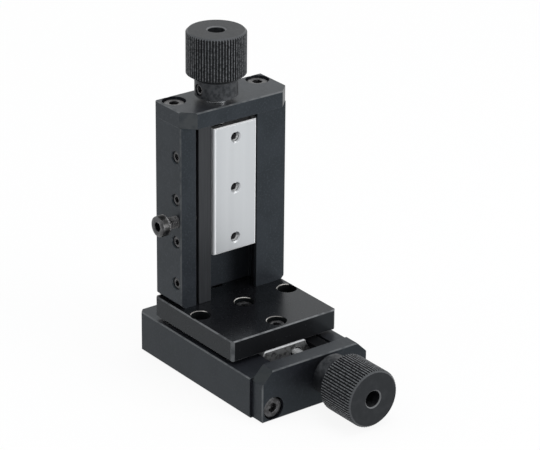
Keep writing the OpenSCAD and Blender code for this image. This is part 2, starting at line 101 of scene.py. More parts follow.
room_light = 0.62
room_tone = (0.97, 0.985, 1, 1)
white = (1, 1, 1, 1)
world = bpy.data.worlds.new("white_room")
bpy.context.scene.world = world
world.use_nodes = True
nodes, links = world.node_tree.nodes, world.node_tree.links
nodes.clear()
room_seen = nodes.new("ShaderNodeBackground")
room_seen.inputs["Color"].default_value = white
room_seen.inputs["Strength"].default_value = 1
room_lights = nodes.new("ShaderNodeBackground")
room_lights.inputs["Color"].default_value = room_tone
room_lights.inputs["Strength"].default_value = room_light
room_mix = nodes.new("ShaderNodeMixShader")
links.new(seen_or_reflected(nodes, links), room_mix.inputs[0])
links.new(room_lights.outputs[0], room_mix.inputs[1])
links.new(room_seen.outputs[0], room_mix.inputs[2])
world_out = nodes.new("ShaderNodeOutputWorld")
links.new(room_mix.outputs[0], world_out.inputs[0])

sweep_half = 4.0
sweep_points = 64
sweep_glow = 0.9
paper_white = (0.9, 0.9, 0.9, 1)
sweep_mesh = bpy.data.meshes.new("floor")
sweep_bm = bmesh.new()
sweep_rim = []
for k in range(sweep_points):
    angle = math.tau * k / sweep_points
    sweep_rim.append(sweep_bm.verts.new((sweep_half * math.cos(angle), sweep_half * math.sin(angle), 0)))
sweep_bm.faces.new(sweep_rim)
sweep_bm.to_mesh(sweep_mesh)
sweep_bm.free()
floor = bpy.data.objects.new("floor", sweep_mesh)
bpy.context.scene.collection.objects.link(floor)
sweep = bpy.data.materials.new("white_sweep")
sweep.use_nodes = True
nodes, links = sweep.node_tree.nodes, sweep.node_tree.links
nodes.clear()
paper = nodes.new("ShaderNodeBsdfDiffuse")
paper.inputs["Color"].default_value = paper_white
glow = nodes.new("ShaderNodeEmission")
glow.inputs["Color"].default_value = white
glow.inputs["Strength"].default_value = 1
share = nodes.new("ShaderNodeMath")
share.operation = "MULTIPLY"
share.inputs[1].default_value = sweep_glow
links.new(seen_or_reflected(nodes, links), share.inputs[0])
sweep_mix = nodes.new("ShaderNodeMixShader")
links.new(share.outputs[0], sweep_mix.inputs[0])
links.new(paper.outputs[0], sweep_mix.inputs[1])
links.new(glow.outputs[0], sweep_mix.inputs[2])
sweep_out = nodes.new("ShaderNodeOutputMaterial")
links.new(sweep_mix.outputs[0], sweep_out.inputs["Surface"])
sweep_mesh.materials.append(sweep)


lit_middle = Vector((0, 0, 50 * mm))


def soft_box(name, place, side, watts):
    """A square lamp that hangs at a place and shines on the middle of the stage."""
    data = bpy.data.lights.new(name, "AREA")
    data.shape = "SQUARE"
    data.size = side
    data.energy = watts
    lamp = bpy.data.objects.new(name, data)
    lamp.location = place
    lamp.rotation_euler = (lit_middle - Vector(place)).to_track_quat("-Z", "Y").to_euler()
    bpy.context.scene.collection.objects.link(lamp)


soft_box("box_left", place=(-0.6, -1.2, 1.0), side=0.8, watts=2.0)
soft_box("box_top", place=(0.1, 0.1, 1.5), side=0.9, watts=8.0)
soft_box("box_front", place=(1.2, 0.65, 0.35), side=0.7, watts=10.0)
soft_box("box_back", place=(-1.0, 0.76, 0.56), side=0.9, watts=0.7)


# Slide bodies, end plates and table
# The two channel-shaped bodies, their end plates and the table are milled from aluminium bar, blasted
# and anodised black. Edges are broken by hand, and are painted lighter in patches: part wear where they
# are handled, part painted highlight.
class Finish:
    """A procedural finish under one Principled shader, worked out in the piece's own coordinates."""

    def __init__(self, name, colour, metallic, gloss_ior=1.5, gloss_tint=(1, 1, 1)):
        self.material = bpy.data.materials.new(name)
        self.material.use_nodes = True
        self.nodes = self.material.node_tree.nodes
        self.links = self.material.node_tree.links
        self.shader = self.nodes["Principled BSDF"]
        self.shader.inputs["Base Color"].default_value = (*colour, 1)
        self.shader.inputs["Metallic"].default_value = metallic
        self.shader.inputs["IOR"].default_value = gloss_ior
        self.shader.inputs["Specular Tint"].default_value = (*gloss_tint, 1)
        self.place = self.nodes.new("ShaderNodeTexCoord").outputs["Object"]
        self.colour = None
        self.normal = None

    def node(self, kind, **settings):
        made = self.nodes.new(kind)
        for key, value in settings.items():
            setattr(made, key, value)
        return made

    def math(self, operation, first, second=None):
        made = self.node("ShaderNodeMath", operation=operation)
        for socket, value in zip(made.inputs, (first, second)):
            if value is None:
                continue
            if isinstance(value, (int, float)):
                socket.default_value = value
            else:
                self.links.new(value, socket)
        return made.outputs[0]

    def both(self, first, second):
        """A mask that is 1 where two masks are."""
        return self.math("MULTIPLY", first, second)

    def outside(self, mask):
        """A mask that is 1 where another is 0."""
        return self.math("SUBTRACT", 1.0, mask)

    def noise(self, grains_per_mm, detail=3.0, stretch=(1, 1, 1)):
        """Cloudy noise; a stretch under 1 draws it out along that axis."""
        spread = self.node("ShaderNodeMapping")
        spread.inputs["Scale"].default_value = stretch
        self.links.new(self.place, spread.inputs["Vector"])
        made = self.node("ShaderNodeTexNoise")
        made.inputs["Scale"].default_value = grains_per_mm / mm
        made.inputs["Detail"].default_value = detail
        self.links.new(spread.outputs[0], made.inputs["Vector"])
        return made.outputs["Fac"]

    def between(self, mask, low, high):
        """Stretches a mask so that its 0 becomes low and its 1 becomes high."""
        made = self.node("ShaderNodeMapRange")
        made.inputs["To Min"].default_value = low
        made.inputs["To Max"].default_value = high
        self.links.new(mask, made.inputs["Value"])
        return made.outputs[0]

    def step(self, mask, start, end):
        """A mask that rises smoothly from 0 to 1 as another goes from start to end."""
        made = self.node("ShaderNodeMapRange", interpolation_type="SMOOTHSTEP")
        made.inputs["From Min"].default_value = start
        made.inputs["From Max"].default_value = end
        self.links.new(mask, made.inputs["Value"])
        return made.outputs[0]

    def tint(self, mask, colour):
        """Lays a colour over what is there, where the mask is 1."""
        made = self.node("ShaderNodeMix", data_type="RGBA")
        self.links.new(mask, made.inputs["Factor"])
        if self.colour is None:
            made.inputs["A"].default_value = self.shader.inputs["Base Color"].default_value
        else:
            self.links.new(self.colour, made.inputs["A"])
        made.inputs["B"].default_value = (*colour, 1)
        self.colour = made.outputs["Result"]
        self.links.new(self.colour, self.shader.inputs["Base Color"])

    def rough(self, value):
        self.links.new(value, self.shader.inputs["Roughness"])

    def bump(self, height, depth_mm):
        made = self.node("ShaderNodeBump")
        made.inputs["Distance"].default_value = depth_mm * mm
        made.inputs["Strength"].default_value = 1
        self.links.new(height, made.inputs["Height"])
        if self.normal is not None:
            self.links.new(self.normal, made.inputs["Normal"])
        self.normal = made.outputs["Normal"]
        self.links.new(self.normal, self.shader.inputs["Normal"])

    def rounded_normal(self, radius_mm):
        made = self.node("ShaderNodeBevel", samples=6)
        made.inputs["Radius"].default_value = radius_mm * mm
        return made.outputs["Normal"]

    def round_edges(self, radius_mm):
        self.normal = self.rounded_normal(radius_mm)
        self.links.new(self.normal, self.shader.inputs["Normal"])

    def edges(self, radius_mm, start, end):
        """A mask that is 1 on sharp edges, from how far a rounded normal leans off the true one."""
        flat = self.node("ShaderNodeNewGeometry")
        product = self.node("ShaderNodeVectorMath", operation="DOT_PRODUCT")
        self.links.new(self.rounded_normal(radius_mm), product.inputs[0])
        self.links.new(flat.outputs["True Normal"], product.inputs[1])
        return self.step(self.outside(product.outputs["Value"]), start, end)

    def facing(self, axis):
        """How far a face turns towards an axis: 1 along it, 0 across it, -1 against it."""
        flat = self.node("ShaderNodeNewGeometry")
        parts = self.node("ShaderNodeSeparateXYZ")
        self.links.new(flat.outputs["True Normal"], parts.inputs[0])
        return parts.outputs[axis]

    def sloping(self, axis):
        """A mask that is 1 on faces at 45 degrees to an axis: milled chamfers and broken rims."""
        lean = self.math("ABSOLUTE", self.facing(axis))
        off = self.math("ABSOLUTE", self.math("SUBTRACT", lean, math.sqrt(0.5)))
        return self.outside(self.step(off, 0.01, 0.03))

    def chamfer(self, first, second):
        """A mask that is 1 on the chamfers between faces across one axis and faces across another."""
        return self.both(self.sloping(first), self.sloping(second))

    def upright(self, axis, start, end):
        """A mask that is 1 on the faces that run along an axis and 0 on those across it."""
        return self.outside(self.step(self.math("ABSOLUTE", self.facing(axis)), start, end))

    def inside(self, axis, low, high):
        """A mask that is 1 between two heights along an axis."""
        parts = self.node("ShaderNodeSeparateXYZ")
        self.links.new(self.place, parts.inputs[0])
        above = self.math("GREATER_THAN", parts.outputs[axis], low)
        below = self.math("LESS_THAN", parts.outputs[axis], high)
        return self.both(above, below)

    def reach(self, axis, centre):
        """The distance from a line along an axis."""
        parts = self.node("ShaderNodeSeparateXYZ")
        self.links.new(self.place, parts.inputs[0])
        across = [k for k in range(3) if k != axis]
        squares = []
        for k in across:
            off = self.math("SUBTRACT", parts.outputs[k], centre[k])
            squares.append(self.math("MULTIPLY", off, off))
        return self.math("SQRT", self.math("ADD", squares[0], squares[1]))

    def rings(self, axis, centre, ring_mm):
        """Turning marks: a height that waves with the distance from the axis."""
        swing = self.math("MULTIPLY", self.reach(axis, centre), math.tau / (ring_mm * mm))
        return self.math("SINE", swing)

    def put_on(self, *pieces):
        for piece in pieces:
            piece.data.materials.clear()
            piece.data.materials.append(self.material)


edge_wear_and_highlight = (0.062, 0.064, 0.068)
foot_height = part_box("z_body")[0][2]
foot_room = 0.4 * mm


def shade(colour, times):
    return tuple(times * value for value in colour)


def anodised_black(name, ground, gloss_ior, gloss_tint, smoothest, roughest, chamfers):
    """Blasted black, its edges painted lighter, part wear and part painted highlight; chamfers are pairs of
    axes, each with how light it is painted.
    """
    finish = Finish(name, ground, metallic=0.0, gloss_ior=gloss_ior, gloss_tint=gloss_tint)
    clouds = finish.step(finish.noise(0.12, 4), 0.35, 0.7)
    finish.tint(clouds, shade(ground, 1.35))
    grains = finish.step(finish.noise(1.5, 2), 0.5, 0.68)
    finish.tint(grains, shade(ground, 1.7))
    # Painted highlight with wear: the sharp edges are painted lighter in patches.
    handled = finish.step(finish.noise(0.35), 0.3, 0.6)
    rubbed_and_lit = finish.both(finish.edges(0.2, 0.02, 0.14), handled)
    # The edges where the column stands on the table are left black.
    at_foot = finish.inside(2, foot_height - foot_room, foot_height + foot_room)
    finish.tint(finish.both(rubbed_and_lit, finish.outside(at_foot)), edge_wear_and_highlight)
    # Painted highlight with wear: each chamfer is painted lighter in patches, by how much light falls on
    # its side.
    patchy = finish.between(finish.step(finish.noise(0.3, 2), 0.3, 0.6), 0.45, 1)
    for axes, chamfer_light in chamfers.items():
        chamfer_highlight_colour = (chamfer_light, 1.02 * chamfer_light, 1.05 * chamfer_light)
        finish.tint(finish.both(finish.chamfer(*axes), patchy), chamfer_highlight_colour)
    finish.round_edges(0.12)
    finish.bump(finish.noise(7, 4), 0.004)
    finish.grain = finish.between(finish.noise(0.8, 5), smoothest, roughest)
    finish.rough(finish.grain)
    return finish


# The lower body and its end plate are painted a darker black than the column, as painted shade under the
# table.
lower_shaded_ground = (0.0098, 0.0104, 0.013)
column_ground = (0.0135, 0.0145, 0.0175)
body_gloss = 1.295
body_tint = (0.66, 0.89, 1)
for name, ground, chamfers in (("x_body", lower_shaded_ground, {(1, 2): 0.11}),
                               ("z_body", column_ground, {(0, 1): 0.07}),
                               ("x_end_plate", lower_shaded_ground, {(1, 2): 0.022, (0, 1): 0.1, (0, 2): 0.1}),
                               ("z_end_plate", column_ground, {(0, 1): 0.048, (0, 2): 0.12, (1, 2): 0.12})):
    body_black = anodised_black(name + "_black", ground, body_gloss, body_tint,
                                smoothest=0.32, roughest=0.44, chamfers=chamfers)
    body_black.put_on(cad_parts[name])

# The table's stepped holes are painted black inside and their rims darker, as painted shade; the rims carry
# a painted highlight on the side that looks to +X.
table_ground = (0.0054, 0.0056, 0.0066)
table_gloss = 1.27
table_tint = (0.74, 0.9, 1)
table_chamfers = {(0, 1): 0.11, (0, 2): 0.16, (1, 2): 0.13}
table_front_painted_light = (0.009, 0.0093, 0.0103)
hole_painted_shade = (0.002, 0.002, 0.002)
rim_painted_shade = (0.004, 0.004, 0.004)
rim_painted_highlight = (0.22, 0.21, 0.2)
rim_painted_glint = (0.55, 0.53, 0.5)
rim_room = 1.1 * mm
hole_dullness = 0.65
low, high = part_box("table")
table_black = anodised_black("table_black", table_ground, table_gloss, table_tint,
                             smoothest=0.22, roughest=0.3, chamfers=table_chamfers)
# Painted light: the table's upright faces that look to +X are painted a lighter black.
walls = table_black.upright(2, 0.2, 0.6)
lit_front = table_black.step(table_black.facing(0), 0.8, 0.95)
table_black.tint(table_black.both(walls, lit_front), table_front_painted_light)
in_holes = table_black.both(table_black.inside(0, low[0] + rim_room, high[0] - rim_room),
                            table_black.inside(1, low[1] + rim_room, high[1] - rim_room))
# Painted shade: the hole rims are painted darker than the top.
rims = table_black.both(in_holes, table_black.sloping(2))
table_black.tint(rims, rim_painted_shade)
# Painted highlight: the rims that look to +X are painted grey, with brighter patches as painted glints.
front_rims_highlight = table_black.both(rims, table_black.step(table_black.facing(0), 0.1, 0.45))
table_black.tint(front_rims_highlight, rim_painted_highlight)
glint_patches = table_black.step(table_black.noise(0.3, 1), 0.45, 0.6)
table_black.tint(table_black.both(front_rims_highlight, glint_patches), rim_painted_glint)
# Painted shade: the hole walls are painted near black.
hole_walls = table_black.both(in_holes, walls)
table_black.tint(hole_walls, hole_painted_shade)
dull = table_black.math("MULTIPLY", hole_walls, hole_dullness)
table_black.rough(table_black.math("ADD", table_black.grain, dull))
table_black.put_on(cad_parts["table"])


# Gib bars
# The bar between each carriage and the screwed wall of its body is ground steel, blackened. Grinding
# marks run along the bar.
gib_stretch = 0.03
gib_tint = (0.9, 0.95, 1)


def gib_steel(name, along, ground, gloss_ior):
    """Blackened steel whose grinding marks are drawn out along one axis."""
    stretch = tuple(gib_stretch if k == along else 1 for k in range(3))
    finish = Finish(name, ground, metallic=0.0, gloss_ior=gloss_ior, gloss_tint=gib_tint)
    marks = finish.step(finish.noise(3, 4, stretch), 0.4, 0.7)
    finish.tint(marks, shade(ground, 1.6))
    finish.rough(finish.between(finish.noise(2, 3, stretch), 0.3, 0.48))
    finish.round_edges(0.1)
    finish.bump(finish.noise(9, 3, stretch), 0.003)
    return finish


# The lower gib is painted darker than the upper one, as painted shade under the table.
x_gib_shaded_ground = (0.004, 0.0042, 0.005)
z_gib_ground = (0.0105, 0.011, 0.0125)
gib_steel("x_gib_steel", 0, x_gib_shaded_ground, gloss_ior=1.2).put_on(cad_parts["x_gib"])
gib_steel("z_gib_steel", 2, z_gib_ground, gloss_ior=1.41).put_on(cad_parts["z_gib"])


# Carriages
# The dovetail carriages are steel, ground on the face and left bright. Their three tapped holes are
# threaded M3, which shows as ridges inside each hole.
steel_grey = (0.44, 0.456, 0.472)
steel_light = (0.472, 0.489, 0.504)
sawn_grey = (0.27, 0.275, 0.28)
sawn_spots = (0.09, 0.09, 0.092)
steel_edge_highlight = (0.85, 0.86, 0.87)
ground_stretch = 0.02
sawn_skin = 0.01 * mm
sawn_dullness = 0.3
flat_half = 7.3 * mm


def ground_steel(name, along, node, edge_mm):
    """Steel ground along X or Z; its ends across that axis are sawn, its face looks along the other."""
    stretch = tuple(ground_stretch if k == along else 1 for k in range(3))
    finish = Finish(name, steel_grey, metallic=1.0)
    finish.tint(finish.step(finish.noise(0.25, 3, stretch), 0.3, 0.75), steel_light)
    low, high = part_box(node)
    sawn = finish.outside(finish.inside(along, low[along] + sawn_skin, high[along] - sawn_skin))
    finish.tint(sawn, sawn_grey)
    finish.tint(finish.both(sawn, finish.step(finish.noise(0.7, 3), 0.45, 0.7)), sawn_spots)
    # The face's long edges are rounded over; their upper or front side, the sharp edges and the end
    #     # chamfers are painted near white and not metallic, as a painted highlight.
    turned_out = finish.math("ABSOLUTE", finish.facing(1))
    leaning = finish.both(finish.step(turned_out, 0.12, 0.3),
                          finish.outside(finish.step(turned_out, 0.45, 0.7)))
    centre = (low[1] + high[1]) / 2
    flat = finish.inside(1, centre - flat_half, centre + flat_half)
    leaning = finish.both(leaning, finish.outside(flat))
    rounded = finish.both(leaning, finish.math("GREATER_THAN", finish.facing(2 - along), 0.15))
    edge = finish.math("MAXIMUM", finish.edges(edge_mm, 0.03, 0.14), finish.sloping(along))
    edge = finish.math("MAXIMUM", edge, rounded)
    finish.tint(edge, steel_edge_highlight)
    finish.links.new(finish.outside(edge), finish.shader.inputs["Metallic"])
    ground = finish.between(finish.noise(1.6, 4, stretch), 0.36, 0.5)
    coarser = finish.math("MULTIPLY", sawn, sawn_dullness)
    finish.rough(finish.math("ADD", ground, coarser))
    finish.round_edges(0.12)
    finish.bump(finish.noise(12, 3, stretch), 0.0012)
    return finish


ground_steel("x_ground_steel", 0, "x_carriage", edge_mm=0.34).put_on(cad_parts["x_carriage"])
ground_steel("z_ground_steel", 2, "z_carriage", edge_mm=0.16).put_on(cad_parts["z_carriage"])


def loft(bm, loops, place, closed=False):
    """Skins a row of loops that have the same number of points, capping both ends unless it is closed."""
    count = len(loops[0])
    rows = [[bm.verts.new(place @ Vector(point)) for point in loop] for loop in loops]
    pairs = list(zip(rows, rows[1:]))
    if closed:
        pairs.append((rows[-1], rows[0]))
    for low, high in pairs:
        for k in range(count):
            following = (k + 1) % count
            bm.faces.new((low[k], low[following], high[following], high[k]))
    if closed:
        return
    for row, turn in ((rows[0], -1), (rows[-1], 1)):
        tip = bm.verts.new(sum((vert.co for vert in row), Vector()) / count)
        for k in range(count):
            rim = (row[k], row[(k + 1) % count])
            bm.faces.new((tip, *rim) if turn > 0 else (tip, *reversed(rim)))


def circle(radius, height, count):
    loop = []
    for k in range(count):
        angle = math.tau * k / count
        loop.append((radius * math.cos(angle), radius * math.sin(angle), height))
    return loop


def hexagon(across_corners, height, count):
    """A hexagon's outline with the points of a circle, so that it can be skinned to one."""
    flat = across_corners / 2 * math.cos(math.pi / 6)
    outline = []
    for k in range(count):
        angle = math.tau * k / count
        to_flat = (angle % (math.pi / 3)) - math.pi / 6
        reach = flat / math.cos(to_flat)
        outline.append((reach * math.cos(angle), reach * math.sin(angle), height))
    return outline


rows_a_turn = 6
crest_flat = 1.15


def thread(crest, depth, pitch, start, end, count):
    """Loops of a right-hand thread: the radius rises and falls with the height less the turn."""
    rows = max(2, round((end - start) / pitch * rows_a_turn))
    loops = []
    for row in range(rows + 1):
        height = start + (end - start) * row / rows
        room = min(height - start, end - height) / pitch
        full = depth * min(1, max(0, room))
        loop = []
        for k in range(count):
            phase = (height / pitch - k / count) % 1
            rise = 1 - abs(2 * phase - 1)
            radius = crest - full * (1 - min(1, crest_flat * rise))
            angle = math.tau * k / count
            loop.append((radius * math.cos(angle), radius * math.sin(angle), height))
        loops.append(loop)
    return loops


def piece_from(bm, name, body, finish, smooth_below=35):
    """Turns a bmesh into a piece that rides on a body, shaded smooth except over sharp edges."""
    bmesh.ops.recalc_face_normals(bm, faces=bm.faces)
    for face in bm.faces:
        face.smooth = True
    limit = math.radians(smooth_below)
    for edge in bm.edges:
        if len(edge.link_faces) == 2 and edge.calc_face_angle(0) > limit:
            edge.smooth = False
    mesh = bpy.data.meshes.new(name)
    bm.to_mesh(mesh)
    bm.free()
    piece = bpy.data.objects.new(name, mesh)
    bpy.context.scene.collection.objects.link(piece)
    finish.put_on(piece)
    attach(piece, body)
    return piece


def middle(node):
    low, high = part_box(node)
    return (Vector(low) + Vector(high)) / 2


def pointing(direction, place):
    """A placement whose own +Z points along a direction, from a place."""
    turn = Vector((0, 0, 1)).rotation_difference(Vector(direction))
    return Matrix.Translation(Vector(place)) @ turn.to_matrix().to_4x4()


m3_pitch = 0.5 * mm
hole_radius = 1.5 * mm
hole_crest = 1.24 * mm
hole_deep = 5.3 * mm
hole_mouth = 0.5 * mm
hole_pitch = 17.5 * mm
hole_from_top = 4.6 * mm
hole_points = 36
wall_skin = 0.02 * mm
lit_depth = 1.7 * mm
cut_steel = (0.34, 0.345, 0.35)
cut_light = (0.5, 0.505, 0.51)
unlit = (0.03, 0.03, 0.031)
low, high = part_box("z_carriage")
ridges = bmesh.new()
for k in range(3):
    mouth = Vector((high[0], middle("z_carriage").y, high[2] - hole_from_top - k * hole_pitch))
    inner = thread(hole_radius, hole_radius - hole_crest, m3_pitch, -hole_deep, -hole_mouth, hole_points)
    wall = circle(hole_radius + wall_skin, -hole_mouth, hole_points)
    foot = circle(hole_radius + wall_skin, -hole_deep, hole_points)
    loft(ridges, [foot] + inner + [wall], pointing((1, 0, 0), mouth), closed=True)
tapped = Finish("tapped_thread", cut_steel, metallic=1.0)
tapped.tint(tapped.step(tapped.noise(1.5, 3), 0.4, 0.7), cut_light)
# Painted shade: deeper than lit_depth from the face, the thread is painted near black.
tapped.tint(tapped.inside(0, low[0], high[0] - lit_depth), unlit)
tapped.rough(tapped.between(tapped.noise(2, 3), 0.2, 0.35))
piece_from(ridges, "z_carriage_threads", "lift", tapped)


# Feed screws
# Each feed screw is turned from bright steel bar: a fine thread of 0.5 mm pitch that runs in the
# carriage's nut, a collar that takes the thrust, and a journal that ends inside the knob.
def turned_steel(name, axis, centre, colour, smoothest, roughest):
    """Turned metal with fine rings round one axis."""
    finish = Finish(name, colour, metallic=1.0)
    finish.tint(finish.step(finish.noise(0.6, 3), 0.4, 0.7), shade(colour, 0.88))
    finish.rough(finish.between(finish.noise(2, 3), smoothest, roughest))
    finish.round_edges(0.06)
    finish.bump(finish.rings(axis, centre, 0.11), 0.0008)
    return finish


feed_pitch = 0.5 * mm
feed_radius = 2 * mm
feed_depth = 0.28 * mm
point_radius = 1.3 * mm
journal_radius = 2.5 * mm
collar_radius = 3.5 * mm
collar_length = 1 * mm
collar_back = 0.85 * mm
collar_break = 0.15 * mm
thread_reach = 28 * mm
thread_gap = 1.2 * mm
neck_length = 1.1 * mm
end_break = 0.4 * mm
centre_mouth = 0.9 * mm
centre_foot = 0.15 * mm
screw_points = 40
sharp_turn = 50


def feed_screw(name, node, body, finish, direction, plate_face):
    """The whole screw, drawn along its axis from the inner face of the end plate."""
    low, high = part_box(node)
    whole = max(high[k] - low[k] for k in range(3))
    top = whole - thread_reach
    collar_top = -collar_back
    collar_low = collar_top - collar_length
    neck = feed_radius - feed_depth
    start = -thread_reach + end_break
    loops = [circle(point_radius, -thread_reach, screw_points),
             circle(neck, start, screw_points)]
    loops += thread(feed_radius, feed_depth, feed_pitch, start, collar_low - thread_gap, screw_points)[1:]
    loops += [circle(neck, collar_low - neck_length, screw_points),
              circle(neck, collar_low, screw_points),
              circle(collar_radius - collar_break, collar_low, screw_points),
              circle(collar_radius, collar_low + collar_break, screw_points),
              circle(collar_radius, collar_top - collar_break, screw_points),
              circle(collar_radius - collar_break, collar_top, screw_points),
              circle(journal_radius, collar_top, screw_points),
              circle(journal_radius, top - end_break, screw_points),
              circle(journal_radius - end_break, top, screw_points),
              circle(centre_mouth, top, screw_points),
              circle(centre_foot, top - centre_mouth, screw_points)]
    bm = bmesh.new()
    loft(bm, loops, pointing(direction, plate_face))
    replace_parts(piece_from(bm, name, body, finish, sharp_turn), node)


x_axis = middle("x_feed_screw")
z_axis = middle("z_feed_screw")
x_plate_face = Vector((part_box("x_body")[1][0], x_axis.y, x_axis.z))
z_plate_face = Vector((z_axis.x, z_axis.y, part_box("z_body")[1][2]))
oiled = (0.27, 0.275, 0.28)
x_oiled = turned_steel("x_oiled_steel", 0, x_axis, oiled, smoothest=0.12, roughest=0.22)
z_oiled = turned_steel("z_oiled_steel", 2, z_axis, oiled, smoothest=0.12, roughest=0.22)
feed_screw("x_feed_screw_threaded", "x_feed_screw", "x_screw", x_oiled, (1, 0, 0), x_plate_face)
feed_screw("z_feed_screw_threaded", "z_feed_screw", "z_screw", z_oiled, (0, 0, 1), z_plate_face)


# Thrust washers, bushes and nuts
# A bright steel washer lies between each end plate and its knob. The flanged bush in the plate and
# the nut in the carriage are bearing bronze, turned and pressed in.
bright = (0.6, 0.61, 0.63)
bronze = (0.3, 0.225, 0.14)
x_bright = turned_steel("x_bright_steel", 0, x_axis, bright, smoothest=0.2, roughest=0.34)
z_bright = turned_steel("z_bright_steel", 2, z_axis, bright, smoothest=0.2, roughest=0.34)
x_bright.put_on(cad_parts["x_thrust_washer"])
z_bright.put_on(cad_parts["z_thrust_washer"])
x_bronze = turned_steel("x_bronze", 0, x_axis, bronze, smoothest=0.3, roughest=0.45)
z_bronze = turned_steel("z_bronze", 2, z_axis, bronze, smoothest=0.3, roughest=0.45)
x_bronze.put_on(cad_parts["x_bush"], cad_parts["x_feed_nut"])
z_bronze.put_on(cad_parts["z_bush"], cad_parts["z_feed_nut"])


# Knobs
# Each knob is one turned piece of aluminium, anodised black: a head with a straight knurl, a plain
# hub and a bore through the middle. The end faces keep fine turning rings.
knob_ground = (0.0052, 0.0056, 0.0068)
knob_tint = (0.86, 0.94, 1)
knob_clouds = (0.01, 0.0105, 0.012)
knob_slope_highlight = (0.06, 0.062, 0.065)
knob_edge_wear_and_highlight = (0.15, 0.152, 0.157)
bore_rim = (0.14, 0.142, 0.146)
hub_blotches_and_light = (0.034, 0.035, 0.038)
knurl_groove_shade = (0.0012, 0.0012, 0.0014)
groove_dullness = 0.4
knurl_share = 0.94
hub_share = 0.76
bore_share = 0.45
crest_low = 0.14 * mm
crest_high = 0.02 * mm


def knob_black(name, axis, centre, node, gloss_ior, crest_wear_and_glint):
    """Black of a knob that turns about one axis. Its knurl grooves are painted near black as painted
    shade, and its crests, slopes and edges lighter, part wear and part painted highlight.
    """
    finish = Finish(name, knob_ground, metallic=0.0, gloss_ior=gloss_ior, gloss_tint=knob_tint)
    finish.tint(finish.step(finish.noise(0.4, 5), 0.4, 0.75), knob_clouds)
    # Painted highlight: the knob's chamfers are painted lighter, and its edges lighter in patches, part
    # wear.
    finish.tint(finish.sloping(axis), knob_slope_highlight)
    handled = finish.step(finish.noise(1.6, 4), 0.42, 0.58)
    finish.tint(finish.both(finish.edges(0.2, 0.02, 0.2), handled), knob_edge_wear_and_highlight)
    low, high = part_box(node)
    rim = (high[1] - low[1]) / 2
    reach = finish.reach(axis, centre)
    bore = finish.math("LESS_THAN", reach, bore_share * rim)
    finish.tint(finish.both(bore, finish.sloping(axis)), bore_rim)
    walls = finish.upright(axis, 0.1, 0.3)
    hub = finish.both(finish.math("LESS_THAN", reach, hub_share * rim), walls)
    if axis == 0:
        # The lower knob lies on its side, and its hub's lighter blotches are painted on the upper half
        # only, as painted light from above.
        hub = finish.both(hub, finish.step(finish.facing(2), 0.1, 0.7))
    blotches = finish.step(finish.noise(0.7, 4), 0.35, 0.65)
    finish.tint(finish.both(hub, blotches), hub_blotches_and_light)
    # Painted shade: the whole knurl is painted near black, and only its crests are lightened again.
    knurl = finish.both(finish.math("GREATER_THAN", reach, knurl_share * rim), walls)
    finish.tint(knurl, knurl_groove_shade)
    # Part wear, part painted highlight: the knurl's crests are painted lighter in speckles.
    crest = finish.step(reach, rim - crest_low, rim - crest_high)
    speckled = finish.between(finish.step(finish.noise(1.8, 3), 0.35, 0.65), 0.1, 1)
    finish.tint(finish.both(finish.both(knurl, crest), speckled), crest_wear_and_glint)
    turned = finish.between(finish.noise(1.5, 4), 0.4, 0.56)
    groove = finish.both(knurl, finish.outside(crest))
    dull = finish.math("MULTIPLY", groove, groove_dullness)
    finish.rough(finish.math("ADD", turned, dull))
    finish.round_edges(0.08)
    finish.bump(finish.rings(axis, centre, 0.22), 0.0016)
    finish.bump(finish.noise(6, 4), 0.005)
    return finish


x_crest_wear_and_glint = (0.135, 0.139, 0.147)
z_crest_wear_and_glint = (0.09, 0.092, 0.097)
x_knob_black = knob_black("x_knob_black", 0, x_axis, "x_knob", gloss_ior=1.32, crest_wear_and_glint=x_crest_wear_and_glint)
z_knob_black = knob_black("z_knob_black", 2, z_axis, "z_knob", gloss_ior=1.36, crest_wear_and_glint=z_crest_wear_and_glint)
x_knob_black.put_on(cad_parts["x_knob"])
z_knob_black.put_on(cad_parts["z_knob"])


# Cap screws and set screws
# All the screws are alloy steel with a black oxide finish: M4 and M3 socket cap screws with knurled
# heads, and M4 socket set screws. The threads are rolled and show where a screw stands out of its hole.
oxide_ground = (0.014, 0.014, 0.0155)
oxide_spots = (0.055, 0.055, 0.058)
oxide_dark = (0.002, 0.002, 0.0022)


def oxide_black(name, oxide_edge_highlight=0.26, dark_round=None):
    """Black oxide with its edges painted lighter as a painted highlight; where dark_round is an axis, the
    faces along it are mottled a deeper black.
    """
    finish = Finish(name, oxide_ground, metallic=0.35, gloss_ior=1.6)
    finish.tint(finish.step(finish.noise(0.7, 3), 0.42, 0.6), oxide_spots)
    finish.tint(finish.edges(0.08, 0.03, 0.2), (oxide_edge_highlight, oxide_edge_highlight, 1.02 * oxide_edge_highlight))
    if dark_round is not None:
        turned_to_it = finish.math("ABSOLUTE", finish.facing(dark_round))
        sides = finish.math("LESS_THAN", turned_to_it, 0.5)
        mottled = finish.step(finish.noise(0.9, 3), 0.3, 0.55)
        finish.tint(finish.both(sides, mottled), oxide_dark)
    finish.rough(finish.between(finish.noise(3, 4), 0.26, 0.42))
    finish.round_edges(0.06)
    finish.bump(finish.noise(10, 3), 0.002)
    return finish


oxide = oxide_black("black_oxide")
clamp_oxide = oxide_black("clamp_black_oxide", dark_round=1)
set_oxide = oxide_black("set_screw_black_oxide", oxide_edge_highlight=0.6)
grip_count = 24
points = 2 * grip_count
grip_depth = 0.14 * mm
grip_low = 0.5 * mm
grip_back = 0.25 * mm
seat_round = ((0.12 * mm, 0), (0.02 * mm, 0.15 * mm), (0, 0.35 * mm))


def grip(radius, height):
    """A loop of shallow grooves round a cap screw's head."""
    loop = []
    for k in range(points):
        angle = math.tau * k / points
        reach = radius - grip_depth * (k % 2)
        loop.append((reach * math.cos(angle), reach * math.sin(angle), height))
    return loop


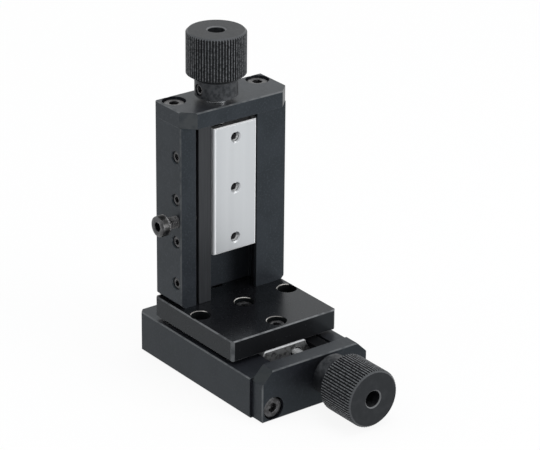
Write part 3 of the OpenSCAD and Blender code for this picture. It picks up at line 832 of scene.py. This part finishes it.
def cap_screw(bm, place, shank, length, pitch, head, tall, socket, deep):
    """A socket cap screw with its seat at the origin and its head towards +Z."""
    radius = shank / 2
    depth = 0.58 * pitch
    root = radius - depth
    point = 0.35 * mm
    point_break = 0.15 * mm
    thread_back = 0.25 * mm
    rim = head / 2
    blend = 0.12 * rim
    top_round = ((0.03 * mm, blend), (0.3 * blend, 0.4 * blend), (blend, 0))
    mouth_room = 0.18 * mm
    mouth_deep = 0.14 * mm
    drilled = ((0.36 * socket, 0.02 * mm), (0.05 * socket, 0.2 * socket))
    loops = [circle(root - point_break, -length, points),
             circle(root, -length + point, points)]
    loops += thread(radius, depth, pitch, -length + point, -thread_back, points)[1:]
    loops += [circle(root, 0, points)]
    loops += [circle(rim - inward, up, points) for inward, up in seat_round]
    loops += [grip(rim, grip_low), grip(rim, tall - blend - grip_back)]
    loops += [circle(rim - inward, tall - down, points) for inward, down in top_round]
    loops += [circle(socket / 2 + mouth_room, tall, points),
              hexagon(socket, tall - mouth_deep, points),
              hexagon(socket, tall - deep, points)]
    loops += [circle(reach, tall - deep - down, points) for reach, down in drilled]
    loft(bm, loops, place)


def set_screw(bm, place, shank, length, pitch, socket, deep):
    """A socket set screw with its outer face at the origin and its point towards -Z."""
    radius = shank / 2
    depth = 0.55 * pitch
    root = radius - depth
    point = 0.45 * mm
    point_break = 0.75 * mm
    thread_back = 0.2 * mm
    face_break = 0.05 * mm
    mouth_room = 0.12 * mm
    mouth_deep = 0.1 * mm
    drill_tip = 0.05 * socket
    drill_deep = 0.25 * socket
    loops = [circle(radius - point_break, -length, points),
             circle(root, -length + point, points)]
    loops += thread(radius, depth, pitch, -length + point, -thread_back, points)[1:]
    loops += [circle(root - face_break, 0, points),
              circle(socket / 2 + mouth_room, 0, points),
              hexagon(socket, -mouth_deep, points),
              hexagon(socket, -deep, points),
              circle(drill_tip, -deep - drill_deep, points)]
    loft(bm, loops, place)


m4 = dict(shank=3.96 * mm, pitch=0.7 * mm, head=7 * mm, tall=4 * mm, socket=3.46 * mm, deep=2 * mm)
m4_low = dict(m4, tall=3.2 * mm)
m3 = dict(shank=2.96 * mm, pitch=0.5 * mm, head=5.5 * mm, tall=3 * mm, socket=2.88 * mm, deep=1.5 * mm)
m4_set = dict(shank=3.96 * mm, pitch=0.7 * mm, socket=2.3 * mm, deep=2 * mm)


def seats(node, direction, half_head, tall, count):
    """Where the seats of a row of like screws are, from the corners of their node."""
    low, high = (Vector(corner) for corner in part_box(node))
    axis = max(range(3), key=lambda k: abs(direction[k]))
    forward = direction[axis] > 0
    across = [k for k in range(3) if k != axis]
    row = max(across, key=lambda k: high[k] - low[k])
    found = []
    for k in range(count):
        seat = (low + high) / 2
        seat[axis] = high[axis] - tall if forward else low[axis] + tall
        if count > 1:
            share = k / (count - 1)
            seat[row] = low[row] + half_head + share * (high[row] - low[row] - 2 * half_head)
        found.append(seat)
    return found


def screw_row(name, node, body, direction, length, count, size, finish=oxide):
    """Like cap screws in a node's place, with their heads towards a direction."""
    bm = bmesh.new()
    for seat in seats(node, direction, size["head"] / 2, size["tall"], count):
        cap_screw(bm, pointing(direction, seat), length=length, **size)
    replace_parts(piece_from(bm, name, body, finish), node)


def set_row(name, node, body, direction, count):
    """Like set screws in a node's place, each as long as the node is deep."""
    low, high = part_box(node)
    axis = max(range(3), key=lambda k: abs(direction[k]))
    bm = bmesh.new()
    for seat in seats(node, direction, m4_set["shank"] / 2, 0, count):
        set_screw(bm, pointing(direction, seat), length=high[axis] - low[axis], **m4_set)
    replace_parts(piece_from(bm, name, body, set_oxide), node)


plate_length = 12 * mm
clamp_length = 11.3 * mm
table_length = 8 * mm
column_length = 16 * mm
screw_row("x_end_plate_cap_screws", "x_end_plate_screws", "base", (1, 0, 0), plate_length, 2, m4)
screw_row("z_end_plate_cap_screws", "z_end_plate_screws", "stage", (0, 0, 1), plate_length, 2, m4)
screw_row("x_clamp_cap_screw", "x_clamp_screw", "x_clamp", (0, 1, 0), clamp_length, 1, m4_low, clamp_oxide)
screw_row("z_clamp_cap_screw", "z_clamp_screw", "z_clamp", (0, -1, 0), clamp_length, 1, m4_low, clamp_oxide)
screw_row("table_cap_screws", "table_screws", "stage", (0, 0, 1), table_length, 3, m3)
screw_row("column_cap_screws", "column_screws", "stage", (0, 0, -1), column_length, 2, m4)
set_row("x_gib_set_screws", "x_gib_screws", "base", (0, 1, 0), 4)
set_row("z_gib_set_screws", "z_gib_screws", "stage", (0, -1, 0), 4)
set_row("x_knob_grub_screw", "x_knob_set_screw", "x_screw", (0, 1, 0), 1)
set_row("z_knob_grub_screw", "z_knob_set_screw", "z_screw", (0, -1, 0), 1)
